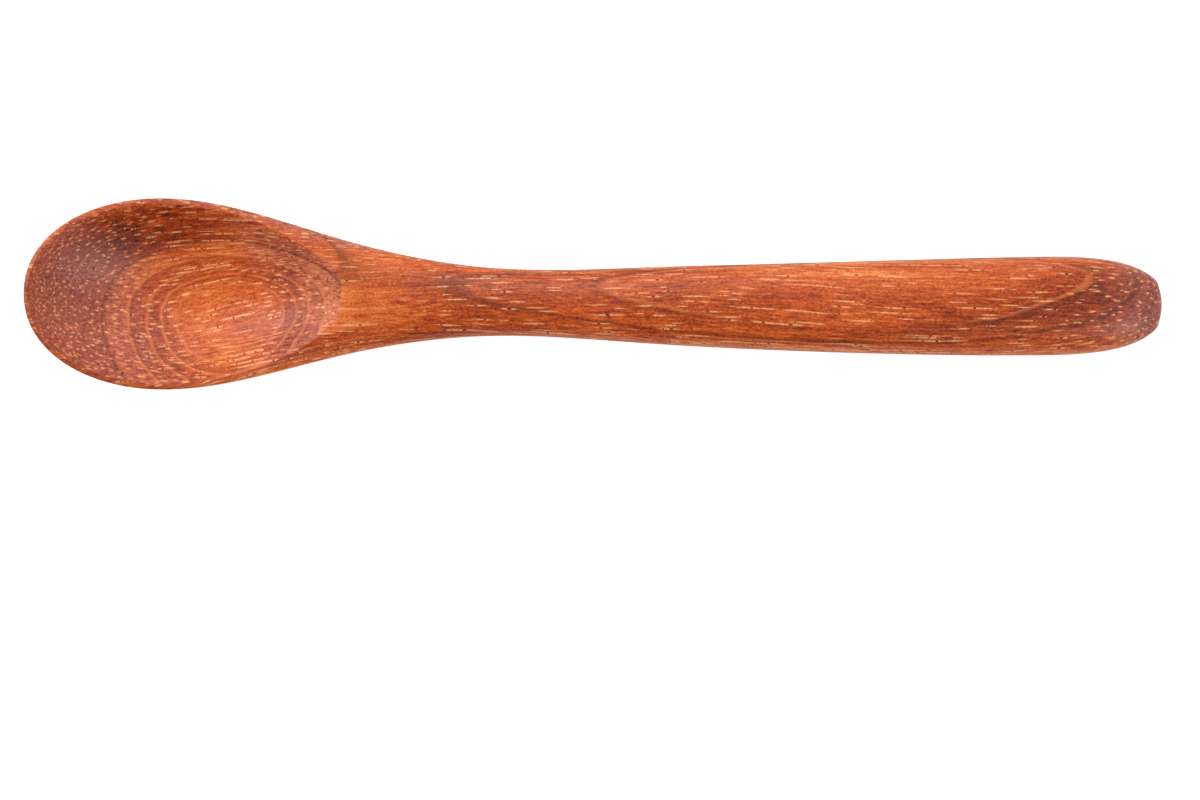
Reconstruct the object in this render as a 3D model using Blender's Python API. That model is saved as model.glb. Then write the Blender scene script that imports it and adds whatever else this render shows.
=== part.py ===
"""A toddler's spoon, carved in one piece from a blank of reddish hardwood.

The spoon lies on a table as it does when it is put down: on the heel of its bowl and on the end of its
handle. +X runs from the tip of the bowl to the end of the handle, +Z is up, the table is z = 0, and the
origin is at the middle of the spoon's length, under the axis of the bowl. Sizes are in metres.

Its skin is a loft. At each station along the length the carver's four lines give the half width, the
underside, the top and the sideways lean, and a rounded section joins them. The hollow of the bowl is a
second loft between the two inner edges of the rim. The table plane then sands the two small flats.
"""

from math import asin, cos, pi, sin

import bmesh
import bpy
import numpy as np

MM = 0.001

# Lengths along the spoon, each from the end of the one before
TIP_TO_WIDEST = 18.0 * MM
WIDEST_TO_FLOOR = 8.0 * MM
FLOOR_TO_HEEL = 10.0 * MM
HEEL_TO_HOLLOW_END = 5.3 * MM
HOLLOW_END_TO_SADDLE = 2.1 * MM
SADDLE_TO_NECK = 18.6 * MM
NECK_TO_WAIST = 18.0 * MM
WAIST_TO_ARCH = 28.0 * MM
ARCH_TO_PALM = 23.0 * MM
PALM_TO_END = 19.0 * MM

# Widths across the spoon
BOWL_WIDTH = 25.2 * MM
HOLLOW_END_WIDTH = 15.4 * MM
NECK_WIDTH = 8.96 * MM
WAIST_WIDTH = 9.9 * MM
ARCH_WIDTH = 12.05 * MM
PALM_WIDTH = 13.05 * MM

# Heights above the table
TIP_HEIGHT = 15.6 * MM
SADDLE_HEIGHT = 7.2 * MM
NECK_HEIGHT = 8.35 * MM
WAIST_HEIGHT = 9.8 * MM
ARCH_HEIGHT = 10.85 * MM
PALM_HEIGHT = 9.6 * MM
NOSE_HEIGHT = 3.3 * MM

# Thicknesses, from the top down to the underside
NECK_THICKNESS = 6.9 * MM
WAIST_THICKNESS = 7.2 * MM
ARCH_THICKNESS = 8.35 * MM
PALM_THICKNESS = 8.8 * MM

# The walls of the bowl and its rim
FLOOR_WALL = 2.6 * MM
SIDE_RIM = 0.9 * MM
TIP_RIM = 0.7 * MM
TIP_EDGE = 0.5 * MM
RIM_DROP = 0.8 * MM

# Small departures that the hand carving left: the handle leans to one side of the bowl's axis, the end
# is cut blunt just before its plan would close, and two flats are sanded where the spoon lies
NECK_LEAN = 1.0 * MM
HANDLE_LEAN = 1.7 * MM
END_LEAN = 1.3 * MM
END_CUT = 0.6 * MM
FLAT_DEPTH = 0.12 * MM

# How full the round forms are: 2 is a circle or an ellipse, more is squarer
ROUND = 2.0
TIP_FULLNESS = 2.1
BELLY_FULLNESS = 2.1
RIM_FULLNESS = 3.0
HANDLE_FULLNESS = 2.3
RIM_SWEEP = 1.85
BELLY_SWEEP = (2.3, 1.67)
FLOOR_SWEEP = (2.0, 1.5)
FLOOR_RISE = (2.0, 1.25)
HOLLOW_SIDES = (2.0, 1.45)
HOLLOW_END_PLAN = (4.0, 2.2)
END_PLAN = (3.4, 2.2)
END_SIDE = (3.0, 2.4)

# How finely the skin is cut into faces
TIP_ROWS = 4
HOLLOW_ROWS = 32
HANDLE_ROWS = 26
END_ROWS = 12
SHOULDER_STEPS = 4
BELLY_STEPS = 11
HOLLOW_STEPS = 8
ROW_CROWDING = 0.8
LEVEL_ROUNDS = 4

WOOD_COLOUR = (0.42, 0.13, 0.05, 1.0)
WOOD_ROUGHNESS = 0.42

# Places along the length, measured from the tip of the bowl
WIDEST = TIP_TO_WIDEST
FLOOR = WIDEST + WIDEST_TO_FLOOR
HEEL = FLOOR + FLOOR_TO_HEEL
HOLLOW_END = HEEL + HEEL_TO_HOLLOW_END
SADDLE = HOLLOW_END + HOLLOW_END_TO_SADDLE
NECK = SADDLE + SADDLE_TO_NECK
WAIST = NECK + NECK_TO_WAIST
ARCH = WAIST + WAIST_TO_ARCH
PALM = ARCH + ARCH_TO_PALM
LENGTH = PALM + PALM_TO_END


def fair_curve(knots, first_slope=None):
    """Return a smooth function through the knots, a natural cubic spline.

    The knots are (place, value) pairs. With first_slope the curve leaves its first knot at that slope.
    """
    x = np.array([knot[0] for knot in knots])
    y = np.array([knot[1] for knot in knots])
    gap = np.diff(x)
    rise = np.diff(y) / gap
    count = len(x)
    matrix = np.eye(count)
    wanted = np.zeros(count)
    if first_slope is not None:
        matrix[0, :2] = 2.0 * gap[0], gap[0]
        wanted[0] = 6.0 * (rise[0] - first_slope)
    for i in range(1, count - 1):
        matrix[i, i - 1:i + 2] = gap[i - 1], 2.0 * (gap[i - 1] + gap[i]), gap[i]
        wanted[i] = 6.0 * (rise[i] - rise[i - 1])
    bend = np.linalg.solve(matrix, wanted)

    def value(at):
        i = min(max(int(np.searchsorted(x, at)) - 1, 0), count - 2)
        left, right = at - x[i], x[i + 1] - at
        curved = (bend[i] * right ** 3 + bend[i + 1] * left ** 3) / (6.0 * gap[i])
        return (curved + (y[i] / gap[i] - bend[i] * gap[i] / 6.0) * right
                + (y[i + 1] / gap[i] - bend[i + 1] * gap[i] / 6.0) * left)

    return value


def closing(share, run, fullness):
    """Return how far open a rounded form still is, from 1 where it starts to close to 0 where it has."""
    return max(1.0 - min(max(share, 0.0), 1.0) ** run, 0.0) ** (1.0 / fullness)


def ease(share):
    """Return a smooth step from 0 to 1."""
    share = min(max(share, 0.0), 1.0)
    return share * share * (3.0 - 2.0 * share)


body_width = fair_curve([(WIDEST, BOWL_WIDTH), (HOLLOW_END, HOLLOW_END_WIDTH), (NECK, NECK_WIDTH),
                         (WAIST, WAIST_WIDTH), (ARCH, ARCH_WIDTH), (PALM, PALM_WIDTH),
                         (LENGTH, PALM_WIDTH)], first_slope=0.0)
handle_top = fair_curve([(SADDLE, SADDLE_HEIGHT), (NECK, NECK_HEIGHT), (WAIST, WAIST_HEIGHT),
                         (ARCH, ARCH_HEIGHT), (PALM, PALM_HEIGHT),
                         (LENGTH, NOSE_HEIGHT + PALM_THICKNESS / 2.0)], first_slope=0.0)
handle_under = fair_curve([(HEEL, -FLAT_DEPTH), (NECK, NECK_HEIGHT - NECK_THICKNESS),
                           (WAIST, WAIST_HEIGHT - WAIST_THICKNESS), (ARCH, ARCH_HEIGHT - ARCH_THICKNESS),
                           (PALM, PALM_HEIGHT - PALM_THICKNESS),
                           (LENGTH, NOSE_HEIGHT - PALM_THICKNESS / 2.0)], first_slope=0.0)
lean = fair_curve([(WIDEST, 0.0), (NECK, -NECK_LEAN), (ARCH, -HANDLE_LEAN), (LENGTH, -END_LEAN)],
                  first_slope=0.0)


def half_width(at):
    """Return half the spoon's width at a place along it."""
    if at < WIDEST:
        return BOWL_WIDTH / 2.0 * closing((WIDEST - at) / WIDEST, TIP_FULLNESS, TIP_FULLNESS)
    return body_width(at) / 2.0 * closing((at - PALM) / (LENGTH + END_CUT - PALM), *END_PLAN)


def top_and_underside(at):
    """Return the heights of the spoon's top and of its underside on its middle line."""
    if at < SADDLE:
        top = SADDLE_HEIGHT + (TIP_HEIGHT - SADDLE_HEIGHT) * (1.0 - at / SADDLE) ** RIM_SWEEP
        top -= TIP_EDGE * (1.0 - closing(1.0 - at / TIP_EDGE, ROUND, ROUND))
    else:
        top = handle_top(at)
    if at < HEEL:
        sweep = 1.0 - closing(1.0 - at / HEEL, *BELLY_SWEEP)
        under = (TIP_HEIGHT - TIP_EDGE + FLAT_DEPTH) * sweep - FLAT_DEPTH
    else:
        under = handle_under(at)
    middle = (top + under) / 2.0
    half = (top - under) / 2.0 * closing((at - PALM) / (LENGTH - PALM), *END_SIDE)
    return middle + half, middle - half


def hollow_half_width(at):
    """Return half the width of the hollow between the inner edges of its rim."""
    if at < WIDEST:
        share = (WIDEST - at) / (WIDEST - TIP_RIM)
        return (BOWL_WIDTH / 2.0 - SIDE_RIM) * closing(share, TIP_FULLNESS, TIP_FULLNESS)
    share = (at - WIDEST) / (HOLLOW_END - WIDEST)
    return (body_width(at) / 2.0 - SIDE_RIM) * closing(share, *HOLLOW_END_PLAN)


def hollow_floor(at):
    """Return the height of the hollow's floor on the middle line, one wall above the belly."""
    lowest = top_and_underside(FLOOR)[1] + FLOOR_WALL
    if at < FLOOR:
        edge = top_and_underside(TIP_RIM)[0]
        still_high = 1.0 - closing((FLOOR - at) / (FLOOR - TIP_RIM), *FLOOR_SWEEP)
    else:
        edge = top_and_underside(HOLLOW_END)[0]
        still_high = 1.0 - closing((at - FLOOR) / (HOLLOW_END - FLOOR), *FLOOR_RISE)
    return lowest + (edge - lowest) * still_high


def section(at):
    """Return the section at a place: its skin from rim to rim under the belly, and its hollow."""
    width = half_width(at)
    top, under = top_and_underside(at)
    half_thickness = (top - under) / 2.0
    like_handle = ease((at - WIDEST) / (NECK - WIDEST))
    drop = min(RIM_DROP, half_thickness)
    drop += (half_thickness - drop) * like_handle
    waterline = top - drop
    upper = RIM_FULLNESS + (HANDLE_FULLNESS - RIM_FULLNESS) * like_handle
    lower = BELLY_FULLNESS + (HANDLE_FULLNESS - BELLY_FULLNESS) * like_handle

    def shoulder(across):
        return waterline + drop * closing(abs(across) / width, upper, upper)

    inner = hollow_half_width(at) if TIP_RIM < at < HOLLOW_END else 0.0
    start = asin((inner / width) ** (upper / 2.0))
    side = []
    for step in range(SHOULDER_STEPS):
        angle = start + (pi / 2.0 - start) * step / SHOULDER_STEPS
        across = width * sin(angle) ** (2.0 / upper)
        side.append((across, shoulder(across)))
    for step in range(BELLY_STEPS):
        angle = pi / 2.0 * step / BELLY_STEPS
        side.append((width * cos(angle) ** (2.0 / lower),
                     waterline - (waterline - under) * sin(angle) ** (2.0 / lower)))
    other_side = [(-across, height) for across, height in side]
    skin = other_side + [(0.0, under)] + side[::-1]

    hollow = []
    if inner > 0.0:
        depth = top - hollow_floor(at)
        for step in range(1, 2 * HOLLOW_STEPS):
            across = -inner * cos(pi * step / (2 * HOLLOW_STEPS))
            hollow.append((across, shoulder(across) - depth * closing(abs(across) / inner, *HOLLOW_SIDES)))
    return skin, hollow


def rows_between(first, last, count, crowd_first, crowd_last):
    """Return places after first up to last, crowded towards the ends that are named."""
    places = []
    for step in range(1, count + 1):
        share = step / count
        if crowd_first and crowd_last:
            share -= ROW_CROWDING * sin(2.0 * pi * share) / (2.0 * pi)
        elif crowd_first:
            share = 1.0 - cos(share * pi / 2.0)
        elif crowd_last:
            share = sin(share * pi / 2.0)
        places.append(first + (last - first) * share)
    return places


def skin_between(mesh, row, next_row):
    """Fill the strip between two rows of vertices, with triangles where a row closes to a point."""
    for i in range(len(row) - 1):
        corners = []
        for vertex in (row[i], next_row[i], next_row[i + 1], row[i + 1]):
            if vertex not in corners:
                corners.append(vertex)
        if len(corners) > 2:
            mesh.faces.new(corners)


def carve_spoon():
    """Return the spoon's skin as a bmesh, still without its flats."""
    mesh = bmesh.new()

    def vertex(at, across, height):
        return mesh.verts.new((at - LENGTH / 2.0, across + lean(max(at, WIDEST)), height))

    places = rows_between(0.0, TIP_RIM, TIP_ROWS, True, False)
    places += rows_between(TIP_RIM, HOLLOW_END, HOLLOW_ROWS, True, True)
    places += rows_between(HOLLOW_END, PALM, HANDLE_ROWS, False, False)
    places += rows_between(PALM, LENGTH, END_ROWS, False, True)

    points_across = 2 * (SHOULDER_STEPS + BELLY_STEPS) + 1
    row = [vertex(0.0, 0.0, TIP_HEIGHT - TIP_EDGE)] * points_across
    hollow_row = None
    for at in places[:-1]:
        skin, hollow = section(at)
        if hollow:
            next_row = [vertex(at, *point) for point in skin]
            inside = [vertex(at, *point) for point in hollow]
            next_hollow = [next_row[0]] + inside + [next_row[-1]]
            skin_between(mesh, next_hollow, hollow_row or [row[0]] * len(next_hollow))
            hollow_row = next_hollow
        else:
            next_row = [vertex(at, *point) for point in skin[:-1]]
            next_row.append(next_row[0])
            if hollow_row:
                skin_between(mesh, [next_row[0]] * len(hollow_row), hollow_row)
                hollow_row = None
        skin_between(mesh, row, next_row)
        row = next_row
    end = vertex(LENGTH, 0.0, NOSE_HEIGHT)
    skin_between(mesh, row, [end] * points_across)
    return mesh


def level(mesh):
    """Tip the spoon until the heel of its bowl and the end of its handle reach equally far into the table."""
    bowl_half = [vertex for vertex in mesh.verts if vertex.co.x < NECK - LENGTH / 2.0]
    end_half = [vertex for vertex in mesh.verts if vertex.co.x > ARCH - LENGTH / 2.0]
    for _ in range(LEVEL_ROUNDS):
        heel = min(bowl_half, key=height_of).co.copy()
        end = min(end_half, key=height_of).co.copy()
        slope = (end.z - heel.z) / (end.x - heel.x)
        for vertex in mesh.verts:
            vertex.co.z -= heel.z + slope * (vertex.co.x - heel.x) + FLAT_DEPTH


def height_of(vertex):
    """Return a vertex's height above the table."""
    return vertex.co.z


def sand_flats(mesh):
    """Cut off what is below the table, and close each cut with one flat face."""
    everything = mesh.verts[:] + mesh.edges[:] + mesh.faces[:]
    bmesh.ops.bisect_plane(mesh, geom=everything, plane_co=(0.0, 0.0, 0.0), plane_no=(0.0, 0.0, -1.0),
                           clear_outer=True)
    open_edges = [edge for edge in mesh.edges if edge.is_boundary]
    bmesh.ops.edgeloop_fill(mesh, edges=open_edges)
    bmesh.ops.recalc_face_normals(mesh, faces=mesh.faces[:])


def wood():
    """Return the oiled hardwood."""
    material = bpy.data.materials.new("oiled_hardwood")
    material.use_nodes = True
    shader = material.node_tree.nodes["Principled BSDF"]
    shader.inputs["Base Color"].default_value = WOOD_COLOUR
    shader.inputs["Roughness"].default_value = WOOD_ROUGHNESS
    shader.inputs["Metallic"].default_value = 0.0
    return material


def main():
    """Make the spoon in an empty scene."""
    for old in list(bpy.data.objects):
        bpy.data.objects.remove(old)
    mesh = carve_spoon()
    level(mesh)
    sand_flats(mesh)
    data = bpy.data.meshes.new("spoon")
    mesh.to_mesh(data)
    mesh.free()
    data.shade_smooth()
    data.set_sharp_from_angle(angle=pi / 4.0)
    data.materials.append(wood())
    spoon = bpy.data.objects.new("spoon", data)
    bpy.context.scene.collection.objects.link(spoon)


main()
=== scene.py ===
"""A toddler's spoon carved in one piece from reddish hardwood, dressed and lit for its picture.

The spoon lies on a pale table and is seen from straight above. A Geometry Nodes tree carves its skin from
stations along its length, and a solid wood that runs right through it gives the growth rings, the pores
and the end grain wherever the carving cuts them. +X runs from the tip of the bowl to the end of the handle,
+Z is up, and sizes are in metres unless a name or a comment says millimetres.
"""

import logging
from dataclasses import dataclass
from enum import Enum
from functools import partial
from itertools import accumulate
from math import asin, atan2, cos, hypot, pi, sin, sqrt
from typing import Any, Callable

import bmesh
import bpy
import numpy as np
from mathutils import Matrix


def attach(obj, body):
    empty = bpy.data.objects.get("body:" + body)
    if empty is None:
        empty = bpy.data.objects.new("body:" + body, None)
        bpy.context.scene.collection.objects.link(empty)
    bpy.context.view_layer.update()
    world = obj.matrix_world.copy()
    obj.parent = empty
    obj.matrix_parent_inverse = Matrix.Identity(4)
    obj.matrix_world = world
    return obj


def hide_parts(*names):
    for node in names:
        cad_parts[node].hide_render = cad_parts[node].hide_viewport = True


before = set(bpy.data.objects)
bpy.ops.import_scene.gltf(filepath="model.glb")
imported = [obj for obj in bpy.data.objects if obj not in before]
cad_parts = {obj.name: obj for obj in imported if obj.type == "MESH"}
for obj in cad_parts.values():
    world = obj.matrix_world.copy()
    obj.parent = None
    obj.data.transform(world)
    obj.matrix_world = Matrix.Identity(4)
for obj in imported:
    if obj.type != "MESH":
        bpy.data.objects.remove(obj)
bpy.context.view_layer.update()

MM = 0.001
ACROSS = (0.0, 1.0, 0.0)
LOG = logging.getLogger("toddler_spoon")
# What makes a Map Range node ease in and out
SMOOTH = {"interpolation_type": "SMOOTHSTEP"}

Curve = Callable[[float], float]
Pair = tuple[float, float]
Socket = bpy.types.NodeSocket
Sockets = tuple[Socket, ...]
# A soft oval spot of the wood: its middle along and across the spoon and its half length and half width,
# all in millimetres, and what it adds in its middle
Spot = tuple[float, float, float, float, float]


def add(tree: bpy.types.NodeTree, kind: str, *inputs: Any, out: str = "", **settings: Any) -> Socket:
    """Add one node with its settings and links.

    Args:
        tree: The node tree that it goes into.
        kind: The node's type as Blender names it, without ShaderNode, GeometryNode or FunctionNode in
            front. The operation of a node that has one follows after a space.
        inputs: What goes into its open inputs, in their order. A socket is linked, None is passed over and
            anything else is set as the value.
        out: Which output to return. Without it, the first open one is returned.
        settings: The node's own properties.

    Returns:
        The output socket. Its node attribute is the node.
    """
    kind, _, operation = kind.partition(" ")
    families = ("ShaderNode", "GeometryNode", "FunctionNode", "")
    node = tree.nodes.new(next(family + kind for family in families if hasattr(bpy.types, family + kind)))
    if operation:
        node.operation = operation
    for name, value in settings.items():
        setattr(node, name, value)
    open_inputs = [socket for socket in node.inputs if socket.enabled]
    for socket, value in zip(open_inputs, inputs):
        if isinstance(value, Socket):
            tree.links.new(value, socket)
        elif value is not None:
            socket.default_value = value
    return node.outputs[out] if out else next((socket for socket in node.outputs if socket.enabled), None)


def fresh_nodes(owner: bpy.types.Material | bpy.types.World) -> Callable:
    """Empty the node tree of a material or a world, and return the function that adds a node to it."""
    owner.use_nodes = True
    owner.node_tree.nodes.clear()
    return partial(add, owner.node_tree)


def in_scene(name: str, data: bpy.types.ID) -> bpy.types.Object:
    """Return a new object of the scene that holds a mesh, a lamp's light or a camera's lens."""
    made = bpy.data.objects.new(name, data)
    bpy.context.scene.collection.objects.link(made)
    return made


def rays_seen(node: Callable) -> Sockets:
    """Return 1 for rays seen straight or through glass, and 1 for those seen in a reflection."""
    rays = node("LightPath").node.outputs
    return node("Math MAXIMUM", rays["Is Camera Ray"], rays["Is Transmission Ray"]), rays["Is Glossy Ray"]


def set_stops(ramp: Socket, stops: list[tuple[float, tuple]]) -> None:
    """Give a colour ramp its stops.

    Args:
        ramp: The ramp node's colour.
        stops: Pairs of place and linear colour, in order.
    """
    elements = ramp.node.color_ramp.elements
    while len(elements) < len(stops):
        elements.new(1.0)
    for element, (at, colour) in zip(elements, stops):
        element.position = at
        element.color = colour


def linear(colour: str) -> tuple[float, float, float, float]:
    """Return an sRGB colour, written #RRGGBB, as linear light from 0 to 1 with an alpha of 1."""
    parts = [int(colour[i:i + 2], 16) / 255.0 for i in (1, 3, 5)]
    return (*[part / 12.92 if part <= 0.04045 else ((part + 0.055) / 1.055) ** 2.4 for part in parts], 1.0)


def fair_curve(knots: list[Pair]) -> Curve:
    """Return a smooth function through knots, a natural cubic spline that leaves its first knot level.

    Args:
        knots: Pairs of place and value.

    Returns:
        A function from a place to a value.
    """
    x, y = np.array(knots).T
    gap = np.diff(x)
    rise = np.diff(y) / gap
    count = len(x)
    matrix = np.eye(count)
    wanted = np.zeros(count)
    matrix[0, :2] = 2.0 * gap[0], gap[0]
    wanted[0] = 6.0 * rise[0]
    for i in range(1, count - 1):
        matrix[i, i - 1:i + 2] = gap[i - 1], 2.0 * (gap[i - 1] + gap[i]), gap[i]
        wanted[i] = 6.0 * (rise[i] - rise[i - 1])
    bend = np.linalg.solve(matrix, wanted)

    def value(at: float) -> float:
        """Return the curve's value at a place."""
        i = min(max(int(np.searchsorted(x, at)) - 1, 0), count - 2)
        left, right = at - x[i], x[i + 1] - at
        curved = (bend[i] * right ** 3 + bend[i + 1] * left ** 3) / (6.0 * gap[i])
        return float(curved + (y[i] / gap[i] - bend[i] * gap[i] / 6.0) * right
                     + (y[i + 1] / gap[i] - bend[i + 1] * gap[i] / 6.0) * left)

    return value


def closing(share: float, run: float, fullness: float) -> float:
    """Return how open a closing form is, 1 to 0. A higher run closes later, a higher fullness squarer."""
    return max(1.0 - min(max(share, 0.0), 1.0) ** run, 0.0) ** (1.0 / fullness)


def ease(share: float) -> float:
    """Return a smooth step from 0 to 1 for a share of the way."""
    share = min(max(share, 0.0), 1.0)
    return share * share * (3.0 - 2.0 * share)


class Crowding(Enum):
    """Where the stations of a stretch stand closer together."""

    NOWHERE = "nowhere"
    START = "start"
    END = "end"
    BOTH = "both ends"


def places_between(first: float, last: float, count: int, crowding: Crowding) -> list[float]:
    """Return places after first up to last.

    Args:
        first: Where the stretch starts. This place isn't returned.
        last: Where it ends.
        count: How many places to return.
        crowding: Where they stand closer together.

    Returns:
        The places, in order.
    """
    shares = [step / count for step in range(1, count + 1)]
    if crowding is Crowding.START:
        shares = [1.0 - cos(share * pi / 2.0) for share in shares]
    elif crowding is Crowding.END:
        shares = [sin(share * pi / 2.0) for share in shares]
    elif crowding is Crowding.BOTH:
        shares = [(1.0 - cos(share * pi)) / 2.0 for share in shares]
    return [first + (last - first) * share for share in shares]


@dataclass(frozen=True)
class RingLine:
    """The edge of one growth ring: a pale line of parenchyma over darker late wood."""

    # The height of its sheet and the line's thickness, in millimetres
    height: float
    thickness: float
    # How much of the line and of the late wood shows, from 0 to 1
    pale: float
    dark: float


@dataclass(frozen=True)
class Rings:
    """One end's growth rings: their lines, and the wood's tone at heights in millimetres between them."""

    lines: tuple[RingLine, ...]
    bands: tuple[Pair, ...]


@dataclass(frozen=True)
class OiledHardwood:
    """Jatoba, or a tropical hardwood like it, carved, sanded smooth and rubbed with food-safe oil.

    The eye gets a warm orange brown with redder bands between the growth rings, thin pale ring lines and
    short pale dashes where the pores are cut lengthwise, or pale dots on mauve where they are cut across.
    The oil leaves a satin sheen, and the raised fibres a faint pale haze where the surface turns away.
    """

    name: str = "oiled_hardwood"
    deep_brown: str = "#3F1105"
    red_brown: str = "#973610"
    heartwood: str = "#D15A1E"
    warm_orange: str = "#FA944D"
    parenchyma: str = "#FA8D50"
    pore_filling: str = "#FFBB83"
    pore_shadow: str = "#2E0E06"
    end_grain: str = "#B7695E"
    fibre_haze: str = "#FFD8C4"
    roughness: float = 0.42
    oil_ior: float = 1.48
    oil_gloss: float = 0.42
    haze: float = 0.1
    haze_roughness: float = 0.25
    bowl_rings: Rings = Rings(
        lines=(RingLine(3.6, 0.09, 0.6, 0.3), RingLine(4.06, 0.13, 0.8, 0.5),
               RingLine(4.62, 0.14, 0.85, 0.45), RingLine(5.5, 0.16, 0.9, 0.35),
               RingLine(7.2, 0.18, 0.15, 0.9), RingLine(10.1, 0.16, 0.6, 0.3)),
        bands=((-3.0, 0.56), (3.55, 0.62), (3.75, 0.54), (4.0, 0.53), (4.2, 0.4), (4.54, 0.5), (4.74, 0.42),
               (5.42, 0.48), (5.62, 0.58), (6.9, 0.6), (7.15, 0.44), (9.9, 0.45), (10.3, 0.43),
               (14.0, 0.5)))
    handle_rings: Rings = Rings(
        lines=(RingLine(1.0, 0.2, 0.5, 0.5), RingLine(4.6, 0.12, 0.4, 0.3), RingLine(7.1, 0.18, 0.15, 0.8),
               RingLine(8.4, 0.12, 1.0, 0.4), RingLine(11.4, 0.2, 0.4, 0.4)),
        bands=((-3.0, 0.5), (0.8, 0.4), (1.2, 0.52), (4.4, 0.5), (6.2, 0.54), (6.75, 0.51), (7.0, 0.46),
               (7.3, 0.5), (8.0, 0.46), (8.33, 0.43), (8.55, 0.54), (9.2, 0.59), (11.0, 0.6), (11.6, 0.5)))
    # The smooth saddle shows hardly a pore, and the floor of the bowl the palest ones
    pore_spots: tuple[Spot, ...] = ((-26.5, 0.0, 7.5, 9.0, -0.75), (-48.0, -1.0, 17.0, 11.0, 0.4))
    # The pale ring lines fade along the middle of the handle
    line_spots: tuple[Spot, ...] = ((34.0, 0.0, 27.0, 60.0, -0.95),)
    # Where the photographed spoon is lighter and darker, with two small dark marks on the handle at the
    # end.
    # Some of the darker spots are painted shade, as marked below
    shade_and_tone_spots: tuple[Spot, ...] = (
        # Painted shade: the 2nd spot, on the bowl's upper inner wall, and the 3rd, dimming a highlight in
        # the hollow
        (-15.0, 0.0, 14.0, 40.0, -0.08), (-57.0, 8.0, 10.0, 5.0, -0.13), (-42.5, -4.0, 10.0, 5.5, -0.14),
        (27.0, -0.4, 32.0, 3.6, -0.13), (-43.0, 9.0, 10.0, 5.0, 0.12), (-30.0, 0.0, 7.0, 9.0, 0.06),
        (46.0, -3.5, 13.0, 5.5, -0.13), (6.0, 0.0, 12.0, 9.0, -0.07), (63.0, -1.0, 18.0, 7.5, -0.22),
        # Painted shade: the 3rd spot of this line, on the upper inner wall at the bowl's front
        (-48.0, 4.5, 14.0, 3.0, 0.12), (-36.5, 0.5, 5.0, 8.0, 0.25), (-64.5, 7.0, 7.0, 4.5, -0.2),
        (31.6, -2.8, 2.4, 1.1, -0.14), (46.6, -2.7, 2.2, 1.1, -0.14))
    # The growth rings sag under the far wall of the bowl, in millimetres
    sag_spots: tuple[Spot, ...] = ((-50.0, 7.5, 20.0, 8.5, 0.6),)

    def build(self) -> bpy.types.Material:
        """Return the wood as a material that reads the spoon's own coordinates."""
        material = bpy.data.materials.new(self.name)
        node = fresh_nodes(material)
        wood = CutWood(node, self)
        pale_line, dark_line, band = wood.rings_drawn()
        pores_shown = wood.spotted(1.0, self.pore_spots)
        filled, hollow, halo = [node("Math MULTIPLY", amount, pores_shown) for amount in wood.pores()]
        # The sides, cut along the wood's rays, are painted lighter: a painted sheen on surfaces that face
        # across the spoon
        painted_side_sheen = wood.facing(ACROSS, 0.65, 0.97)
        tone = wood.tone(band)
        for amount, lighter in ((halo, 0.08), (wood.ripple(), 0.07), (painted_side_sheen, 0.09)):
            tone = node("Math MULTIPLY_ADD", amount, lighter, tone)

        # The tone picks the wood's own colour, and the rest is laid over it
        ramp = node("ValToRGB", tone)
        set_stops(ramp, [(0.0, linear(self.deep_brown)), (0.3, linear(self.red_brown)),
                         (0.56, linear(self.heartwood)), (0.95, linear(self.warm_orange))])
        colour = wood.mixed(ramp, self.end_grain, wood.across_grain, 0.58)
        # End grain keeps its light and dark, which the mauve over it would hide
        shade = node("MapRange", tone, 0.1, 0.8, 0.62, 1.16)
        shade = node("Mix", wood.across_grain, 1.0, shade)
        colour = node("VectorMath SCALE", colour, shade)
        # The pore mouths and hollows are darkened with painted shadow
        speck = node("Math MULTIPLY", wood.specks(), wood.across_grain)
        for over, amount, strength in (
                (self.pore_shadow, speck, 0.5), (self.deep_brown, dark_line, 0.56),
                (self.parenchyma, pale_line, 0.76), (self.pore_filling, filled, 0.83),
                (self.pore_shadow, hollow, 0.75)):
            colour = wood.mixed(colour, over, amount, strength)

        # Pale wood is a little smoother, and pores are sunk into it
        rough = node("MapRange", tone, 0.2, 0.9, self.roughness + 0.06, self.roughness - 0.04)
        relief = node("Math MULTIPLY_ADD", filled, -0.6, tone)
        relief = node("Math MULTIPLY_ADD", hollow, -1.2, relief)
        normal = node("Bump", 0.6, 0.05 * MM, None, relief)
        shader = node("BsdfPrincipled").node
        for name, value in (("IOR", self.oil_ior), ("Specular IOR Level", self.oil_gloss),
                            ("Sheen Weight", self.haze), ("Sheen Roughness", self.haze_roughness),
                            ("Sheen Tint", linear(self.fibre_haze))):
            shader.inputs[name].default_value = value
        for name, socket in (("Base Color", colour), ("Roughness", rough), ("Normal", normal)):
            material.node_tree.links.new(socket, shader.inputs[name])
        node("OutputMaterial", shader.outputs["BSDF"])
        return material


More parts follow.
